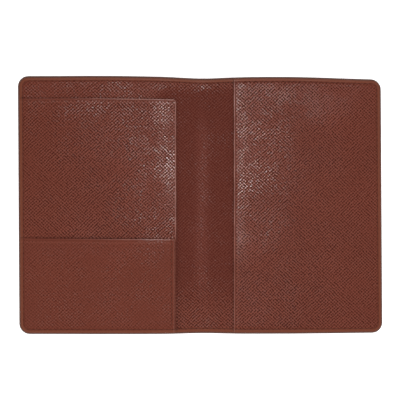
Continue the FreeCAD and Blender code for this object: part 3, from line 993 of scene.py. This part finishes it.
def makeStitchTree():
    tree = bpy.data.node_groups.new("stitchesAlongSeam", "GeometryNodeTree")
    for name, kind in (
        ("Geometry", "Geometry"),
        ("Pitch", "Float"),
        ("Length", "Float"),
        ("Thickness", "Float"),
        ("Rise", "Float"),
        ("Slant", "Float"),
        ("Facing", "Vector"),
        ("Seed", "Int"),
        ("Material", "Material"),
    ):
        tree.interface.new_socket(name, in_out="INPUT", socket_type="NodeSocket" + kind)
    tree.interface.new_socket("Geometry", in_out="OUTPUT", socket_type="NodeSocketGeometry")

    add = partial(addNode, tree)
    given = add("NodeGroupInput").outputs
    line = add("GeometryNodeMeshToCurve", {"Mesh": given["Geometry"]})
    spaced = add("GeometryNodeResampleCurve", {"Curve": line, "Length": given["Pitch"]}, mode="LENGTH")
    half = add("ShaderNodeMath", [given["Length"], 0.5], operation="MULTIPLY")
    back = add("ShaderNodeMath", [half, -1], operation="MULTIPLY")
    sunk = add("ShaderNodeMath", [given["Thickness"], -0.7], operation="MULTIPLY")
    crown = add("ShaderNodeMath", [given["Rise"], given["Thickness"]], operation="ADD")
    bend = {
        "Start": add("ShaderNodeCombineXYZ", {0: back, 2: sunk}),
        "Middle": add("ShaderNodeCombineXYZ", {2: crown}),
        "End": add("ShaderNodeCombineXYZ", {0: half, 2: sunk}),
        "Resolution": stitch["archSteps"],
    }
    arch = add("GeometryNodeCurveQuadraticBezier", bend)
    radius = add("ShaderNodeMath", [given["Thickness"], 0.5], operation="MULTIPLY")
    ring = add("GeometryNodeCurvePrimitiveCircle", {"Radius": radius, "Resolution": stitch["sides"]})
    strand = add("GeometryNodeCurveToMesh", {"Curve": arch, "Profile Curve": ring, "Fill Caps": True})
    along = add(
        "FunctionNodeAxesToRotation",
        {"Primary Axis": add("GeometryNodeInputTangent"), "Secondary Axis": given["Facing"]},
        primary_axis="X",
        secondary_axis="Z",
    )
    spread = {2: -stitch["jitter"], 3: stitch["jitter"], "Seed": given["Seed"]}
    jitter = add("FunctionNodeRandomValue", spread, data_type="FLOAT").outputs[1]
    slant = add("ShaderNodeMath", [jitter, given["Slant"]], operation="ADD")
    leaned = add("FunctionNodeEulerToRotation", [add("ShaderNodeCombineXYZ", {2: slant})])
    both = {"Rotation": along, "Rotate By": leaned}
    turned = add("FunctionNodeRotateRotation", both, rotation_space="LOCAL")
    places = {"Points": spaced, "Instance": strand, "Rotation": turned}
    stitches = add("GeometryNodeRealizeInstances", [add("GeometryNodeInstanceOnPoints", places)])
    smooth = add("GeometryNodeSetShadeSmooth", [stitches])
    dressed = add("GeometryNodeSetMaterial", {"Geometry": smooth, "Material": given["Material"]})
    add("NodeGroupOutput", [dressed])
    return tree


stitchTree = makeStitchTree()


def sewSeam(name, seam, facing, kind):
    path = bpy.data.meshes.new(name + "Path")
    path.from_pydata([tuple(point) for point in seam], [(k, k + 1) for k in range(len(seam) - 1)], [])
    maker = inScene(name + "Path", path)
    nodes = maker.modifiers.new("stitches", "NODES")
    nodes.node_group = stitchTree
    hole = kind == "hole"
    given = {
        "Pitch": stitch["pitch"] * mm,
        "Length": stitch["hole" if hole else "length"] * mm,
        "Thickness": stitch["hole" if hole else "thickness"] * mm,
        "Rise": stitch["holeRise" if hole else "rise"] * mm,
        "Slant": math.radians(stitch["slant"]),
        "Facing": facing,
        "Seed": stitch["seed"],
        "Material": holeShadeFinish if hole else bondedThread,
    }
    for socket in stitchTree.interface.items_tree:
        if socket.in_out == "INPUT" and socket.name in given:
            nodes[socket.identifier] = given[socket.name]
    ready = bpy.context.evaluated_depsgraph_get()
    mesh = bpy.data.meshes.new_from_object(maker.evaluated_get(ready), depsgraph=ready)
    mesh.name = name
    bpy.data.objects.remove(maker)
    piece = inScene(name, mesh)
    return piece


def perimeterPath(side, start):  # from mid-spine at the top, round the cover, to mid-spine below
    inset = holder["seamInset"]
    radius = holder["cornerRadius"] - inset
    wide, tall = halfWidth - inset - radius, halfHeight - inset - radius
    steps = stitch["pathSteps"]
    along = np.linspace(start, wide, steps["along"])
    beside = np.linspace(tall, -tall, steps["beside"])
    turn = np.linspace(np.pi / 2, 0, steps["corner"])[1:-1]
    roundX, roundY = wide + radius * np.cos(turn), tall + radius * np.sin(turn)
    edgeX, edgeY = np.full(len(beside), wide + radius), np.full(len(along), tall + radius)
    x = np.concatenate([along, roundX, edgeX, roundX[::-1], along[::-1]])
    y = np.concatenate([edgeY, roundY, beside, -roundY[::-1], -edgeY])
    return side * x, y


def settled(points):  # the thread bridges each step from one leather to the next
    z = points[:, 2].copy()
    for k in range(len(z)):
        away = np.hypot(points[:, 0] - points[k, 0], points[:, 1] - points[k, 1])
        near = away < stitch["bridge"] * mm
        points[k, 2] = 0.5 * (z[near].mean() + z[near].max())
    return points


def seamOnLeft(x, y):
    onCard = (y < cardHigh[1]) & (x < cardHigh[0])
    onPocket = (y < pocketHigh[1]) & (x < pocketHigh[0])
    top = np.where(onCard, cardTop(x, y), np.where(onPocket, pocketTop(x, y), liningTop(x, y)))
    over = laid(*pocketLean(x, y), top, panelRise)
    under = laid(x, y, top, stackRise)
    return settled(np.where((onCard | onPocket)[:, None], over, under))


def seamOnRight(x, y):
    onSleeve = x > sleeveLow[0]
    top = np.where(onSleeve, sleeveTop(x, y), liningTop(x, y))
    over = laid(*sleeveLean(x, y), top, panelRise)
    under = laid(x, y, top, stackRise)
    return settled(np.where(onSleeve[:, None], over, under))


def seamBelow(x, y):
    return laid(x, y, coverUnderside(x, y), stackRise)


for kind, offset in (("thread", 0.5), ("hole", 1.0)):
    start = stitch["pitch"] * offset
    label = "Seam" if kind == "thread" else "NeedleHoleShades"
    left, right = perimeterPath(-1, start), perimeterPath(1, start)
    for where, seam, facing, side in (
        ("left", seamOnLeft(*left), 1, -1),
        ("right", seamOnRight(*right), 1, 1),
        ("leftOutside", seamBelow(*left), -1, -1),
        ("rightOutside", seamBelow(*right), -1, 1),
    ):
        bendWithSpine(sewSeam(where + label, seam, (0, 0, facing), kind))
    # the card pocket's side seam starts just above its mouth
    reach = np.linspace(cardHigh[1] + 3.9, 4.6 - halfHeight + start, stitch["pathSteps"]["card"])
    cardLine = seamOnLeft(np.full(len(reach), cardSeam), reach)
    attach(sewSeam("card" + label, cardLine, (0, 0, 1), kind), "left_cover")
print("seams sewn")


# A pale floor, soft light from above, and the camera over the holder.
studio = {
    "floor": "#EDEDED",
    "floorRoughness": 0.9,
    "floorShine": 0.1,
    "floorGlow": 0.7,
    "floorReach": 4.0,
    "floorLevel": -0.00015,  # just under the sewing
    "wallTop": 1.2,
    "sides": 48,
    "worldColour": "#FFFFFF",
    "worldStrength": 0.08,
}
# the first three show in the leather's sheen, the fills do not
softboxes = {
    "key": {"place": (0.045, 0.06, 0.6), "size": (0.07, 0.17), "power": 0.9},
    "back": {"place": (0.03, 0.2, 0.6), "size": (0.44, 0.12), "power": 0.85},
    "front": {"place": (-0.06, -0.15, 0.6), "size": (0.5, 0.07), "power": 0.15},
    "leftFill": {"place": (-0.28, -0.22, 0.36), "size": (0.45, 0.45), "power": 1.16},
    "rightFill": {"place": (0.4, -0.15, 0.45), "size": (0.6, 0.6), "power": 1.61},
}

finish, add, shader = newFinish("paleFloor")
# pale to the eye and in what shines, with no more light on the holder
seen = add("ShaderNodeLightPath").outputs
either = add("ShaderNodeMath", [seen["Is Camera Ray"], seen["Is Glossy Ray"]], operation="MAXIMUM")
either = add("ShaderNodeMath", [either, seen["Is Transmission Ray"]], operation="MAXIMUM")
glow = add("ShaderNodeMath", [either, studio["floorGlow"]], operation="MULTIPLY")
setInputs(shader, {"Base Color": hexColour(studio["floor"]), "Roughness": studio["floorRoughness"]})
setInputs(shader, {"Specular IOR Level": studio["floorShine"]})
setInputs(shader, {"Emission Color": (1, 1, 1, 1), "Emission Strength": glow})
# the floor runs out to a low pale wall all round
sides = studio["sides"]
turns = np.linspace(0, 2 * np.pi, sides, endpoint=False)
rim = [(studio["floorReach"] * math.cos(a), studio["floorReach"] * math.sin(a)) for a in turns]
corners = [(x, y, z) for z in (studio["floorLevel"], studio["wallTop"]) for x, y in rim]
walls = [((k + 1) % sides, k, k + sides, (k + 1) % sides + sides) for k in range(sides)]
floorMesh = bpy.data.meshes.new("floor")
floorMesh.from_pydata(corners, [], [tuple(range(sides))] + walls)
floorMesh.materials.append(finish)
floor = inScene("floor", floorMesh)
floor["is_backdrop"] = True

world = bpy.data.worlds.new("studio")
bpy.context.scene.world = world
world.use_nodes = True
sky = world.node_tree.nodes["Background"]
setInputs(sky, {"Color": hexColour(studio["worldColour"]), "Strength": studio["worldStrength"]})

for name, box in softboxes.items():
    lamp = bpy.data.lights.new(name + "Softbox", "AREA")
    lamp.shape = "RECTANGLE"
    lamp.size, lamp.size_y = box["size"]
    lamp.energy = box["power"]
    softbox = inScene(name + "Softbox", lamp)
    softbox.location = box["place"]
    across = 0 if "Fill" in name else box["place"][0]
    aim = Vector((across, 0, 0)) - softbox.location
    softbox.rotation_euler = aim.to_track_quat("-Z", "Y").to_euler()
    softbox.visible_glossy = "Fill" not in name

view = {
    "place": (-0.0343, 0.00297, 0.6),
    "target": (-0.001, 0.00303, 0.002),
    "frameWidth": 0.21868,
    "sensor": 36,
    "roll": 0.0032,
}
lens = bpy.data.cameras.new("camera")
camera = inScene("camera", lens)
bpy.context.scene.camera = camera
place, target = Vector(view["place"]), Vector(view["target"])
back = (place - target).normalized()
right = Vector((0, 1, 0)).cross(back).normalized()
up = back.cross(right)
right, up = (
    math.cos(view["roll"]) * right + math.sin(view["roll"]) * up,
    math.cos(view["roll"]) * up - math.sin(view["roll"]) * right,
)
camera.matrix_world = Matrix.Translation(place) @ Matrix((right, up, back)).transposed().to_4x4()
lens.sensor_width = view["sensor"]
lens.lens = view["sensor"] * (place - target).length / view["frameWidth"]
lens.clip_start, lens.clip_end = 0.01, 20
bpy.context.scene.view_settings.view_transform = "Standard"
print("studio set")

low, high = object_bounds()
